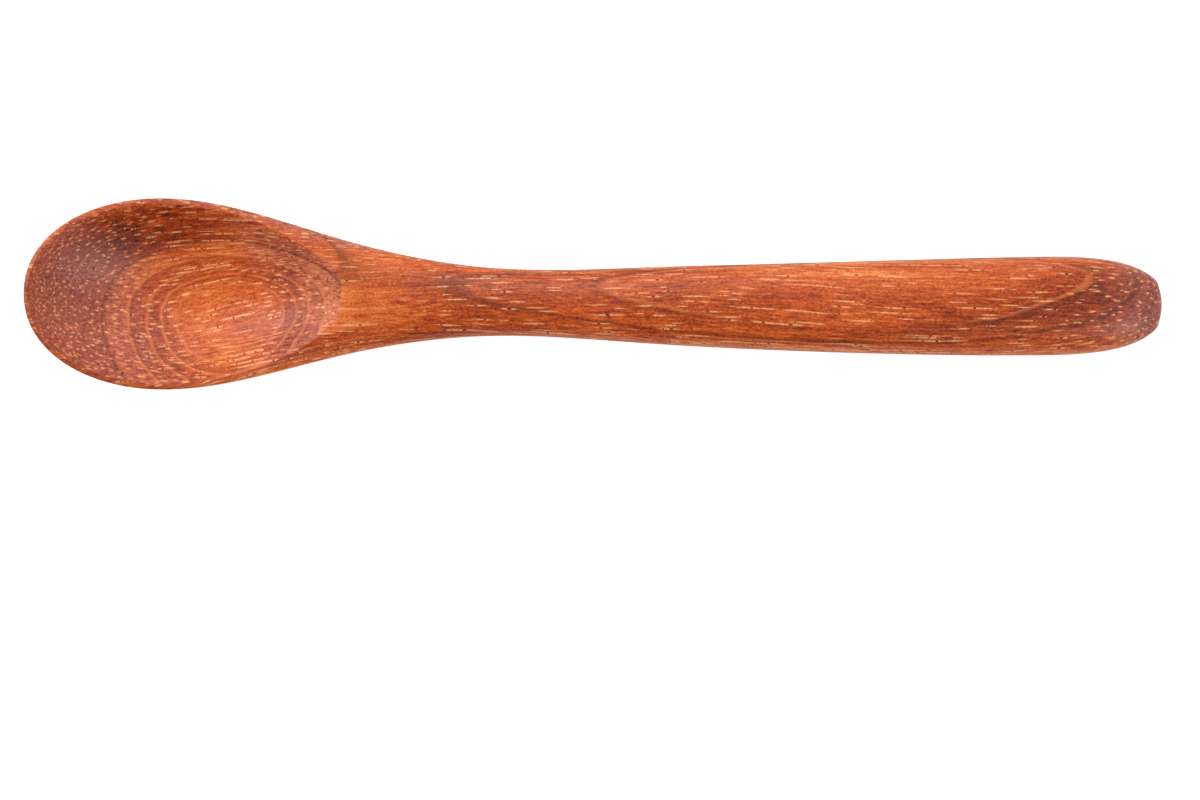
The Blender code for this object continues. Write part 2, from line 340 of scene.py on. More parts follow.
@dataclass
class CutWood:
    """What the wood shows wherever the carving cuts it, as nodes of the material that it is made for.

    Its node function adds a node to that material, and its places and lengths are in millimetres.
    """

    node: Callable
    finish: OiledHardwood

    def __post_init__(self) -> None:
        """Find the place on the spoon, the place along its fibres and how the surface cuts them."""
        node = self.node
        self.place = node("VectorMath MULTIPLY", node("TexCoord", out="Object"), (1.0 / MM,) * 3)
        split = node("SeparateXYZ", self.place).node.outputs
        self.x, self.y, self.z = split["X"], split["Y"], split["Z"]
        self.grain = self.straightened()
        # The fibres lie at a slant in the bowl and straight in the handle
        slant = node("MapRange", self.x, -34.0, -26.0, 0.28, 0.0)
        self.across_grain = self.facing(node("CombineXYZ", 1.0, slant, 0.0), 0.12, 0.48)
        self.sideways = self.facing(ACROSS, 0.2, 0.7)

    def straightened(self) -> Socket:
        """Return the place in the wood with its fibres straightened, so that X follows them.

        The fibres wander and swing as they do in the photograph: they slant across the floor of the bowl
        and back along the handle. In the bowl X runs on faster, which makes the fibres and the dashes of
        its floor shorter.
        """
        node = self.node
        rise = node("MapRange", self.x, -60.0, -34.0, 0.0, -4.2, **SMOOTH)
        below_wall = node("MapRange", self.y, 3.0, 8.0, 1.0, 0.0, **SMOOTH)
        rise = node("Math MULTIPLY", rise, below_wall)
        fall = node("MapRange", self.x, 5.0, 62.0, 0.0, 2.2, **SMOOTH)
        ahead = node("MapRange", self.x, -70.0, -30.0, 0.0, 34.0, **SMOOTH)
        swing = node("CombineXYZ", ahead, node("Math ADD", rise, fall), 0.0)
        straight = node("VectorMath ADD", self.place, swing)
        for length, width, reach in ((26.0, 9.0, 1.6), (7.0, 4.0, 0.35)):
            slow = node("VectorMath MULTIPLY", self.place, (1.0 / length, 1.0 / width, 1.0 / width))
            wander = node("TexNoise", slow, 1.0, 0.0, out="Color")
            wander = node("VectorMath SUBTRACT", wander, (0.5,) * 3)
            straight = node("VectorMath MULTIPLY_ADD", wander, (0.0, reach, reach), straight)
        return straight

    def facing(self, direction: Socket | tuple[float, float, float], least: float, most: float) -> Socket:
        """Return how far the surface faces along a direction, either way.

        Args:
            direction: The direction, about 1 long.
            least: The part of the surface's normal along the direction that counts as 0.
            most: The part that counts as 1.

        Returns:
            An amount from 0 to 1.
        """
        normal = self.node("TexCoord", out="Normal")
        part = self.node("VectorMath DOT_PRODUCT", normal, direction, out="Value")
        part = self.node("Math ABSOLUTE", part)
        return self.node("MapRange", part, least, most, 0.0, 1.0, **SMOOTH)

    def mixed(self, colour: Socket, over: str, amount: Socket, strength: float) -> Socket:
        """Return a colour with another, #RRGGBB, laid over it where there is an amount, at a strength."""
        share = self.node("Math MULTIPLY", amount, strength, use_clamp=True)
        return self.node("Mix", share, colour, linear(over), data_type="RGBA")

    def spotted(self, total: Socket | float, spots: tuple[Spot, ...]) -> Socket:
        """Return a value with soft oval spots of the wood added, which run through it from top to bottom.

        Args:
            total: The value without them.
            spots: The spots. Each is worth its amount in its middle and nothing at its edge.

        Returns:
            The value with them.
        """
        node = self.node
        for x, y, half_length, half_width, amount in spots:
            away = node("VectorMath SUBTRACT", self.place, (x, y, 0.0))
            away = node("VectorMath MULTIPLY", away, (1.0 / half_length, 1.0 / half_width, 0.0))
            away = node("VectorMath LENGTH", away, out="Value")
            total = node("Math ADD", total, node("MapRange", away, 0.25, 1.0, amount, 0.0, **SMOOTH))
        return total

    def ripple(self) -> Socket:
        """Return the ripple that storied cells draw across the fibres on the spoon's sides, -1 to 1, partly
        a painted sheen for their chatoyance.
        """
        node = self.node
        # The waves are 0.6 mm apart, about twice as coarse as real ones, so that they show
        period, drift = 0.6, 26.0
        coarse = node("VectorMath MULTIPLY", self.place, (0.45, 0.6, 0.6))
        coarse = node("TexNoise", coarse, 1.0, 1.0)
        phase = node("Math MULTIPLY_ADD", self.x, 2.0 * pi / period, node("Math MULTIPLY", coarse, drift))
        wave = node("Math SINE", phase)
        for shown in (node("MapRange", coarse, 0.4, 0.6, 0.25, 1.0), self.facing(ACROSS, 0.8, 0.97)):
            wave = node("Math MULTIPLY", wave, shown)
        return wave

    def specks(self) -> Socket:
        """Return the dark mouths, 0.3 mm wide, that a cut across the grain leaves, painted as shadow, from
        0 to 1.
        """
        fine = self.node("VectorMath MULTIPLY", self.grain, (0.6, 3.2, 3.2))
        return self.node("MapRange", self.node("TexNoise", fine, 1.0, 1.0), 0.54, 0.66, 0.0, 1.0)

    def rings_drawn(self) -> Sockets:
        """Return what the growth rings draw in the bowl and on the handle.

        Returns:
            The amount of pale line, which fades in patches too, the amount of dark late wood, and the tone
            of the band between the lines with the finish's lighter and darker spots, some of them painted
            shade.
        """
        node, finish = self.node, self.finish
        height = self.ring_height()
        to_handle = node("MapRange", self.x, -34.0, -26.0, 0.0, 1.0)
        ends = [self.ring_marks(height, rings) for rings in (finish.bowl_rings, finish.handle_rings)]
        pale, dark, tone = [node("Mix", to_handle, *pair) for pair in zip(*ends)]
        slow = node("VectorMath MULTIPLY", self.place, (0.5,) * 3)
        patches = node("MapRange", node("TexNoise", slow, 1.0, 1.0), 0.36, 0.54, 0.5, 1.0)
        pale = node("Math MULTIPLY", pale, self.spotted(1.0, finish.line_spots))
        return node("Math MULTIPLY", pale, patches), dark, self.spotted(tone, finish.shade_and_tone_spots)

    def ring_height(self) -> Socket:
        """Return the height of the growth ring's sheet that passes through each place.

        The sheets lie nearly flat, tip to one side along the handle, cup a little in the bowl and sag
        under its far wall, so that they show as closed rings in the hollow and as a long loop on top of
        the handle.
        """
        node = self.node
        hollow_middle = -48.0
        from_hollow = node("Math SUBTRACT", self.x, hollow_middle)
        # Each shape's value in the bowl and on the handle
        slope, bend, tip, cup, twist = [
            node("MapRange", self.x, -35.0, 5.0, bowl, handle, **SMOOTH)
            for bowl, handle in ((0.0318, 0.038), (0.0, -0.000361), (-0.1569, -0.33), (0.01012, -0.008),
                                 (-0.001094, 0.0))]
        arch = node("Math MULTIPLY_ADD", from_hollow, bend, slope)
        arch = node("Math MULTIPLY", arch, from_hollow)
        dip = node("MapRange", self.x, 50.0, 62.0, 0.0, 0.46, **SMOOTH)
        arch = node("Math ADD", arch, dip)
        sideways = twist
        for part in (cup, tip, arch):
            sideways = node("Math MULTIPLY_ADD", sideways, self.y, part)
        height = self.spotted(node("Math SUBTRACT", self.z, sideways), self.finish.sag_spots)
        for length, width, reach in ((16.0, 6.0, 0.16), (4.0, 1.8, 0.12), (1.3, 0.8, 0.07)):
            loose = node("VectorMath MULTIPLY", self.place, (1.0 / length, 1.0 / width, 1.0 / width))
            wobble = node("TexNoise", loose, 1.0, 1.0)
            height = node("Math MULTIPLY_ADD", wobble, reach, height)
            height = node("Math SUBTRACT", height, reach / 2.0)
        return height

    def ring_marks(self, height: Socket, rings: Rings) -> Sockets:
        """Return what one end's growth rings draw.

        Args:
            height: The height of the ring's sheet.
            rings: The lines and bands to draw.

        Returns:
            The amount of each pale line and of the dark late wood beneath it, and the tone of the band
            between the lines, all from 0 to 1.
        """
        low, high = -5.0, 15.0
        share = self.node("MapRange", height, low, high, 0.0, 1.0)
        marks = self.node("ValToRGB", share)
        bands = self.node("ValToRGB", share)
        edges = []
        # In thicknesses above each line: where its late wood starts and is darkest, the line and its edge
        for line in rings.lines:
            for offset, pale, dark in ((-2.6, 0.0, 0.0), (-0.6, 0.0, line.dark), (0.0, line.pale, 0.0),
                                       (0.8, 0.0, 0.0)):
                edges.append((line.height + offset * line.thickness, (pale, dark, 0.0, 1.0)))
        tones = [(place, (tone, tone, tone, 1.0)) for place, tone in rings.bands]
        for ramp, stops in ((marks, edges), (bands, tones)):
            set_stops(ramp, [((place - low) / (high - low), colour) for place, colour in stops])
        split = self.node("SeparateColor", marks).node.outputs
        return split["Red"], split["Green"], bands

    def pores(self) -> Sockets:
        """Return the pores, tubes about 0.2 to 0.4 mm wide that run along the grain 0.6 mm apart.

        They are drawn a little wider than real ones, so that they show. A surface that cuts a tube at a
        slant shows a dash, and one that cuts it across a dot. A torn mouth across the grain is wider, and
        so are the pores on the spoon's sides.

        Returns:
            The amounts of pale filling, of dark hollow painted as shadow and of the paler fibres beside a
            pore, from 0 to 1.
        """
        node = self.node
        spacing = 0.6
        split = node("SeparateXYZ", self.grain).node.outputs
        section = node("CombineXYZ", split["Y"], split["Z"], 0.0)
        # Where the pattern starts, chosen so that about as many pores open in the bowl as in the photograph
        section = node("VectorMath ADD", section, (3.1, 5.7, 0.0))
        cells = node("TexVoronoi", section, 1.0 / spacing, voronoi_dimensions="2D").node.outputs
        chance = node("SeparateColor", cells["Color"]).node.outputs
        stretches = []
        # How far each change along a pore reaches, its seed, and where the noise starts and ends it: the
        # pore itself, its empty stretches and the beads of its filling
        for length, seed, first, last in ((3.6, "Green", 0.28, 0.42), (0.9, "Blue", 0.67, 0.74),
                                          (0.45, "Red", 0.34, 0.6)):
            along = node("Math MULTIPLY", split["X"], 1.0 / length)
            along = node("Math MULTIPLY_ADD", chance[seed], 60.0, along)
            noise = node("TexNoise", along, 1.0, 0.0, noise_dimensions="1D")
            stretches.append(node("MapRange", noise, first, last, 0.0, 1.0))
        wider = node("Math MULTIPLY_ADD", self.across_grain, 0.25, 1.0)
        wider = node("Math MULTIPLY_ADD", self.sideways, 0.22, wider)
        radius = node("MapRange", chance["Red"], 0.0, 1.0, 0.125, 0.245)
        for share in (stretches[0], wider):
            radius = node("Math MULTIPLY", radius, share)
        # The filling is whole to half the radius, and the paler fibres reach 2.2 times as far as the pore
        core = node("Math MULTIPLY", radius, 0.5)
        inside = node("MapRange", cells["Distance"], core, radius, 1.0, 0.0)
        wing = node("Math MULTIPLY", radius, 2.2)
        halo = node("MapRange", cells["Distance"], radius, wing, 1.0, 0.0)
        hollow = node("Math MULTIPLY", inside, stretches[1])
        filled = node("Math SUBTRACT", inside, hollow)
        beads = node("MapRange", stretches[2], 0.0, 1.0, 0.55, 1.0)
        return node("Math MULTIPLY", filled, beads), hollow, halo

    def tone(self, band: Socket) -> Socket:
        """Return how light the wood is before its lines and pores.

        Args:
            band: The tone of the growth ring's band.

        Returns:
            A tone, from 0 for the deepest brown to 1 for the palest orange. It adds to the band broad
            patches, streaks 0.45 mm wide that show most on the sides, where more layers are cut, and
            strokes 0.26 mm wide, which is as fine as the picture can show.
        """
        node = self.node
        streaks = node("MapRange", self.sideways, 0.0, 1.0, 0.38, 0.95)
        for length, width, strength in ((20.0, 6.0, 0.2), (30.0, 0.45, streaks), (2.2, 0.26, 0.72),
                                        (0.36, 0.26, 0.78)):
            stretched = node("VectorMath MULTIPLY", self.grain, (1.0 / length, 1.0 / width, 1.0 / width))
            noise = node("Math SUBTRACT", node("TexNoise", stretched, 1.0, 2.0), 0.5)
            band = node("Math MULTIPLY_ADD", noise, strength, band)
        return band


@dataclass(frozen=True)
class SeamlessTable:
    """A sheet of white laminate on a photographer's table, matt, so that the eye sees plain white.

    The lift adds to its brightness for the camera, and the smaller one for what reflects it.
    """

    name: str = "white_laminate"
    white: str = "#F2F2F2"
    lift: float = 0.7
    reflected_lift: float = 0.1

    def build(self) -> bpy.types.Material:
        """Return the table's material, lifted to white for the camera and a little for reflections."""
        material = bpy.data.materials.new(self.name)
        node = fresh_nodes(material)
        paint = node("BsdfDiffuse", linear(self.white))
        straight, mirrored = rays_seen(node)
        strength = node("Math MULTIPLY", mirrored, self.reflected_lift)
        strength = node("Math MULTIPLY_ADD", straight, self.lift, strength)
        glow = node("Emission", (1.0, 1.0, 1.0, 1.0), strength)
        node("OutputMaterial", node("AddShader", paint, glow))
        return material


@dataclass
class Carving:
    """The nodes that carve the spoon's two sheets, whose rows of points each belong to one station.

    Its node function adds a node to the tree, and what is given are the tree's inputs.
    """

    node: Callable
    given: Any

    def sheet(self, stations: str, points: str, first: Socket | int) -> Sockets:
        """Return a flat grid that has a row of points for each station.

        Args:
            stations: The name of the input that says how many rows it has.
            points: The name of the input that says how many points a row has.
            first: The station of the first row.

        Returns:
            The grid, each point's station, and its share of the way along its row.
        """
        node, in_row = self.node, self.given[points]
        grid = node("MeshGrid", 1.0, 1.0, self.given[stations], in_row)
        index = node("InputIndex")
        row = node("IntegerMath DIVIDE_FLOOR", index, in_row)
        row = node("IntegerMath ADD", row, first)
        step = node("IntegerMath MODULO", index, in_row)
        return grid, row, node("Math DIVIDE", step, node("Math SUBTRACT", in_row, 1.0))

    def lines_at(self, row: Socket, *names: str) -> list[Socket]:
        """Return the values of the named carver's lines at each point's station, in the same order."""
        values = [self.node("InputNamedAttribute", name) for name in names]
        return [self.node("SampleIndex", self.given["Geometry"], value, row) for value in values]

    def fuller(self, wave: Socket, fullness: Socket) -> Socket:
        """Return a sine or cosine for a section of this fullness, where 2 is an ellipse, more squarer."""
        power = self.node("Math DIVIDE", 2.0, fullness)
        size = self.node("Math POWER", self.node("Math ABSOLUTE", wave), power)
        return self.node("Math MULTIPLY", size, self.node("Math SIGN", wave))

    def placed(self, grid: Socket, row: Socket, across: Socket, height: Socket) -> Socket:
        """Return a grid whose points are put where the section says.

        Args:
            grid: The flat grid.
            row: Each point's station.
            across: How far each point is from the section's middle.
            height: How high it is.

        Returns:
            The formed grid.
        """
        station = self.node("SampleIndex", self.given["Geometry"], self.node("InputPosition"), row,
                            data_type="FLOAT_VECTOR")
        place = self.node("VectorMath ADD", station, self.node("CombineXYZ", 0.0, across, height))
        return self.node("SetPosition", grid, None, place)

    def skin(self) -> Socket:
        """Return the outer skin, each row of which runs from rim to rim under the belly.

        Returns:
            The skin's mesh, open where the hollow goes.
        """
        node, shoulder_share = self.node, self.given["Shoulder share"]
        grid, row, share = self.sheet("Stations", "Skin points", 0)
        half_width, waterline, rise, fall, upper, lower, start = self.lines_at(
            row, "half_width", "waterline", "shoulder_rise", "belly_fall", "shoulder_fullness",
            "belly_fullness", "shoulder_start")
        side = node("MapRange", share, 0.0, 1.0, -1.0, 1.0)
        from_rim = node("Math SUBTRACT", 1.0, node("Math ABSOLUTE", side))
        shoulder = node("MapRange", from_rim, 0.0, shoulder_share, start, pi / 2.0)
        belly = node("MapRange", from_rim, shoulder_share, 1.0, 0.0, pi / 2.0)
        angle = node("Math ADD", shoulder, belly)
        on_shoulder = node("Math LESS_THAN", from_rim, shoulder_share)
        fullness = node("Mix", on_shoulder, lower, upper)
        reach = node("Mix", on_shoulder, fall, rise)
        out = node("Math MULTIPLY", self.fuller(node("Math SINE", angle), fullness), half_width)
        out = node("Math MULTIPLY", out, node("Math SIGN", side))
        up = self.fuller(node("Math COSINE", angle), fullness)
        return self.placed(grid, row, out, node("Math MULTIPLY_ADD", up, reach, waterline))

    def hollow(self) -> Socket:
        """Return the hollow, each row of which runs from one inner edge of the rim to the other.

        Returns:
            The hollow's mesh, a patch that comes to a point at its front and at its back.
        """
        node, given = self.node, self.given
        grid, row, share = self.sheet("Hollow stations", "Hollow points", given["First hollow station"])
        half_width, waterline, rise, fullness, inner, depth, rounding = self.lines_at(
            row, "half_width", "waterline", "shoulder_rise", "shoulder_fullness", "hollow_half_width",
            "hollow_depth", "rim_rounding")
        angle = node("MapRange", share, 0.0, 1.0, 0.0, pi)
        across = node("Math MULTIPLY", node("Math COSINE", angle), -1.0)
        across = node("Math MULTIPLY", across, inner)
        # The hollow hangs from the skin's own shoulder, and its edge is rounded into it
        out = node("Math ABSOLUTE", node("Math DIVIDE", across, half_width))
        shoulder = node("Math SUBTRACT", 1.0, node("Math POWER", out, fullness), use_clamp=True)
        shoulder = node("Math POWER", shoulder, node("Math DIVIDE", 1.0, fullness))
        shoulder = node("Math MULTIPLY_ADD", shoulder, rise, waterline)
        deep = self.fuller(node("Math SINE", angle), given["Hollow fullness"])
        deep = node("Math MULTIPLY", deep, depth)
        squares = node("Math MULTIPLY_ADD", deep, deep, node("Math MULTIPLY", rounding, rounding))
        deep = node("Math SUBTRACT", node("Math SQRT", squares), rounding)
        return self.placed(grid, row, across, node("Math SUBTRACT", shoulder, deep))


@dataclass
class Spoon:
    """The spoon: bowl, neck and handle in one piece, as the carver's lines give it."""

    # Lengths along the spoon, each from the end of the one before
    tip_to_widest: float = 18.0 * MM
    widest_to_floor: float = 8.0 * MM
    floor_to_heel: float = 10.0 * MM
    heel_to_hollow_end: float = 5.3 * MM
    hollow_end_to_saddle: float = 2.1 * MM
    saddle_to_neck: float = 18.6 * MM
    neck_to_waist: float = 18.0 * MM
    waist_to_arch: float = 28.0 * MM
    arch_to_palm: float = 23.0 * MM
    palm_to_end: float = 19.0 * MM

    # Widths across and heights above the table
    bowl_width: float = 25.2 * MM
    hollow_end_width: float = 15.4 * MM
    tip_height: float = 15.8 * MM
    saddle_height: float = 7.2 * MM

    # The handle's width, the height of its top and its thickness at the neck, the waist, the arch, the palm
    # and the end, before that is rounded
    handle_widths: tuple[float, ...] = (8.96 * MM, 9.9 * MM, 12.05 * MM, 13.05 * MM, 13.05 * MM)
    handle_heights: tuple[float, ...] = (8.35 * MM, 9.8 * MM, 10.85 * MM, 9.6 * MM, 7.7 * MM)
    handle_thicknesses: tuple[float, ...] = (6.9 * MM, 7.2 * MM, 8.35 * MM, 8.8 * MM, 8.8 * MM)

    # The bowl's walls and rim
    floor_wall: float = 2.6 * MM
    side_rim: float = 0.75 * MM
    tip_rim: float = 0.5 * MM
    tip_edge: float = 0.8 * MM
    rim_drop: float = 0.8 * MM
    tip_rounding: float = 0.15 * MM
    side_rounding: float = 2.2 * MM
    back_rounding: float = 6.0 * MM

    # What hand carving left: a sideways lean, a blunt end, two flats to lie on and a slight unevenness
    neck_lean: float = 1.0 * MM
    handle_lean: float = 1.7 * MM
    end_lean: float = 1.3 * MM
    end_cut: float = 0.6 * MM
    end_corner: float = 0.9 * MM
    flat_depth: float = 0.12 * MM
    unevenness: float = 0.04 * MM
    unevenness_span: float = 9.0 * MM

    # How full the round forms are, and where a pair, how late they close
    round: float = 2.0
    tip_fullness: float = 2.1
    belly_fullness: float = 2.1
    rim_fullness: float = 3.0
    handle_fullness: float = 2.3
    rim_sweep: float = 1.85
    belly_sweep: Pair = (2.3, 1.67)
    floor_sweep: Pair = (2.0, 1.5)
    floor_rise: Pair = (2.0, 1.05)
    hollow_sides: float = 1.45
    hollow_end_plan: Pair = (4.0, 2.2)
    end_plan: Pair = (3.4, 2.2)
    corner_plan: Pair = (2.6, 1.8)
    end_side: Pair = (3.0, 2.4)

    # How finely the skin is carved
    tip_stations: int = 14
    hollow_stations: int = 150
    handle_stations: int = 84
    end_stations: int = 44
    shoulder_steps: int = 10
    belly_steps: int = 40
    hollow_steps: int = 64
    level_rounds: int = 4

    def __post_init__(self) -> None:
        """Work out the places along the length and the carver's curves."""
        (self.widest, self.floor, self.heel, self.hollow_end, self.saddle, self.neck, self.waist, self.arch,
         self.palm, self.length) = accumulate((
             self.tip_to_widest, self.widest_to_floor, self.floor_to_heel, self.heel_to_hollow_end,
             self.hollow_end_to_saddle, self.saddle_to_neck, self.neck_to_waist, self.waist_to_arch,
             self.arch_to_palm, self.palm_to_end))
        handle = (self.neck, self.waist, self.arch, self.palm, self.length)
        unders = [top - thickness for top, thickness in zip(self.handle_heights, self.handle_thicknesses)]
        bowl = [(self.widest, self.bowl_width), (self.hollow_end, self.hollow_end_width)]
        self.body_width = fair_curve([*bowl, *zip(handle, self.handle_widths)])
        self.handle_top = fair_curve([(self.saddle, self.saddle_height), *zip(handle, self.handle_heights)])
        self.handle_under = fair_curve([(self.heel, -self.flat_depth), *zip(handle, unders)])
        self.lean = fair_curve([
            (self.widest, 0.0), (self.neck, -self.neck_lean), (self.arch, -self.handle_lean),
            (self.length, -self.end_lean)])

    def half_width(self, at: float) -> float:
        """Return half the spoon's width at a place along it."""
        if at < self.widest:
            share = (self.widest - at) / self.widest
            return self.bowl_width / 2.0 * closing(share, self.tip_fullness, self.tip_fullness)
        share = (at - self.palm) / (self.length + self.end_cut - self.palm)
        corner = closing((at - self.length) / self.end_corner + 1.0, *self.corner_plan)
        return self.body_width(at) / 2.0 * closing(share, *self.end_plan) * corner

    def top_and_underside(self, at: float) -> Pair:
        """Return the heights of the top and of the underside on the middle line at a place."""
        if at < self.saddle:
            top = self.saddle_height
            top += (self.tip_height - self.saddle_height) * (1.0 - at / self.saddle) ** self.rim_sweep
            top -= self.tip_edge * (1.0 - closing(1.0 - at / self.tip_edge, self.round, self.round))
        else:
            top = self.handle_top(at)
        if at < self.heel:
            sweep = 1.0 - closing(1.0 - at / self.heel, *self.belly_sweep)
            under = (self.tip_height - self.tip_edge + self.flat_depth) * sweep - self.flat_depth
        else:
            under = self.handle_under(at)
        middle = (top + under) / 2.0
        open_end = closing((at - self.palm) / (self.length - self.palm), *self.end_side)
        half = (top - under) / 2.0 * open_end
        return middle + half, middle - half

    def hollow_half_width(self, at: float) -> float:
        """Return half the width of the hollow between the inner edges of its rim at a place."""
        if not self.tip_rim < at < self.hollow_end:
            return 0.0
        if at < self.widest:
            share = (self.widest - at) / (self.widest - self.tip_rim)
            open_width = closing(share, self.tip_fullness, self.tip_fullness)
            return (self.bowl_width / 2.0 - self.side_rim) * open_width
        share = (at - self.widest) / (self.hollow_end - self.widest)
        return (self.body_width(at) / 2.0 - self.side_rim) * closing(share, *self.hollow_end_plan)

    def hollow_floor(self, at: float) -> float:
        """Return the height of the hollow's floor on the middle line at a place."""
        lowest = self.top_and_underside(self.floor)[1] + self.floor_wall
        end, sweep = self.hollow_end, self.floor_rise
        if at < self.floor:
            end, sweep = self.tip_rim, self.floor_sweep
        edge = self.top_and_underside(end)[0]
        return lowest + (edge - lowest) * (1.0 - closing((at - self.floor) / (end - self.floor), *sweep))

    def stations(self) -> list[dict[str, float]]:
        """Return the carver's lines at each station, from the tip of the bowl to the end of the handle."""
        places = [0.0]
        places += places_between(0.0, self.tip_rim, self.tip_stations, Crowding.START)
        places += places_between(self.tip_rim, self.hollow_end, self.hollow_stations, Crowding.BOTH)
        places += places_between(self.hollow_end, self.palm, self.handle_stations, Crowding.NOWHERE)
        places += places_between(self.palm, self.length, self.end_stations, Crowding.END)
        stations = []
        for at in places:
            top, under = self.top_and_underside(at)
            width = self.half_width(at) if at < places[-1] else 0.0
            inner = self.hollow_half_width(at)
            like_handle = ease((at - self.widest) / (self.neck - self.widest))
            half_thickness = (top - under) / 2.0
            drop = min(self.rim_drop, half_thickness)
            drop += (half_thickness - drop) * like_handle
            upper = self.rim_fullness + (self.handle_fullness - self.rim_fullness) * like_handle
            lower = self.belly_fullness + (self.handle_fullness - self.belly_fullness) * like_handle
            depth = top - self.hollow_floor(at) if inner > 0.0 else 0.0
            rounding = self.tip_rounding + (self.side_rounding - self.tip_rounding) * ease(at / self.widest)
            back = ease((at - self.floor) / (self.hollow_end - self.floor))
            rounding += (self.back_rounding - self.side_rounding) * back
            stations.append({
                "at": at, "lean": self.lean(max(at, self.widest)), "half_width": width,
                "waterline": top - drop, "shoulder_rise": drop, "belly_fall": top - drop - under,
                "shoulder_fullness": upper, "belly_fullness": lower, "hollow_half_width": inner,
                "hollow_depth": sqrt(depth * depth + 2.0 * depth * rounding), "rim_rounding": rounding,
                "shoulder_start": asin((inner / width) ** (upper / 2.0)) if inner > 0.0 else 0.0})
        self.level(stations)
        return stations

    def level(self, stations: list[dict[str, float]]) -> None:
        """Tip the spoon until its heel and the end of its handle reach equally far into the table.

        Args:
            stations: The carver's lines. Their waterlines are moved up or down.
        """
        for _ in range(self.level_rounds):
            under = [(station["waterline"] - station["belly_fall"], station["at"]) for station in stations]
            heel = min(pair for pair in under if pair[1] < self.neck)
            end = min(pair for pair in under if pair[1] > self.arch)
            slope = (end[0] - heel[0]) / (end[1] - heel[1])
            for station in stations:
                station["waterline"] -= heel[0] + slope * (station["at"] - heel[1]) + self.flat_depth

    def build(self, wood: bpy.types.Material) -> bpy.types.Object:
        """Return the finished spoon.

        Args:
            wood: The material it is carved from.

        Returns:
            One plain mesh object at the origin, with its faces pointing outwards.
        """
        stations = self.stations()
        line = bpy.data.meshes.new("carver_lines")
        points = [(station["at"] - self.length / 2.0, station["lean"], 0.0) for station in stations]
        line.from_pydata(points, [(i, i + 1) for i in range(len(points) - 1)], [])
        for name in stations[0]:
            if name not in ("at", "lean"):
                values = line.attributes.new(name, "FLOAT", "POINT")
                values.data.foreach_set("value", [station[name] for station in stations])
        carved = in_scene("carver_lines", line)
        sizes = {"Stations": len(stations), "Skin points": 2 * (self.shoulder_steps + self.belly_steps) + 1,
                 "Shoulder share": self.shoulder_steps / (self.shoulder_steps + self.belly_steps),
                 "First hollow station": self.tip_stations, "Hollow stations": self.hollow_stations + 1,
                 "Hollow points": self.hollow_steps + 1, "Hollow fullness": self.hollow_sides,
                 "Unevenness": self.unevenness, "Unevenness span": self.unevenness_span, "Wood": wood}
        modifier = carved.modifiers.new("carve", "NODES")
        modifier.node_group = self.carving_tree(sizes)
        for socket in modifier.node_group.interface.items_tree:
            if socket.in_out == "INPUT" and socket.name in sizes:
                modifier[socket.identifier] = sizes[socket.name]
        evaluated = carved.evaluated_get(bpy.context.evaluated_depsgraph_get())
        mesh = bpy.data.meshes.new_from_object(evaluated)
        bpy.data.objects.remove(carved)
        shape = bmesh.new()
        shape.from_mesh(mesh)
        bmesh.ops.recalc_face_normals(shape, faces=shape.faces[:])
        shape.to_mesh(mesh)
        shape.free()
        mesh.name = "carved_spoon"
        return in_scene("carved_spoon", mesh)

    def carving_tree(self, sizes: dict[str, Any]) -> bpy.types.NodeTree:
        """Return the tree that carves the skin and the hollow from the stations.

        Args:
            sizes: The tree's named inputs and their values, which give each input its type.

        Returns:
            A geometry tree that takes the carver's lines and gives the spoon.
        """
        tree = bpy.data.node_groups.new("carve_spoon", "GeometryNodeTree")
        tree.is_modifier = True
        kinds = {int: "NodeSocketInt", float: "NodeSocketFloat", bpy.types.Material: "NodeSocketMaterial"}
        tree.interface.new_socket("Geometry", in_out="INPUT", socket_type="NodeSocketGeometry")
        for name, value in sizes.items():
            tree.interface.new_socket(name, in_out="INPUT", socket_type=kinds[type(value)])
        tree.interface.new_socket("Geometry", in_out="OUTPUT", socket_type="NodeSocketGeometry")
        node = partial(add, tree)
        given = node("NodeGroupInput").node.outputs
        carving = Carving(node, given)
        joined = node("JoinGeometry").node
        for sheet in (carving.skin(), carving.hollow()):
            tree.links.new(sheet, joined.inputs[0])
        closed = node("MergeByDistance", joined.outputs[0], None, 0.00001 * MM)
        # Hand carving leaves the skin a little uneven, and what would reach into the table is sanded flat
        span = node("Math DIVIDE", 1.0, given["Unevenness span"])
        push = node("Math SUBTRACT", node("TexNoise", node("InputPosition"), span, 0.0), 0.5)
        push = node("Math MULTIPLY", push, given["Unevenness"])
        push = node("VectorMath SCALE", node("InputNormal"), push)
        uneven = node("SetPosition", closed, None, None, push)
        split = node("SeparateXYZ", node("InputPosition")).node.outputs
        height = node("Math MAXIMUM", split["Z"], 0.0)
        sanded = node("CombineXYZ", split["X"], split["Y"], height)
        smooth = node("SetShadeSmooth", node("SetPosition", uneven, None, sanded))
        whole = node("RealizeInstances", smooth)
        node("NodeGroupOutput", node("SetMaterial", whole, None, given["Wood"]))
        return tree


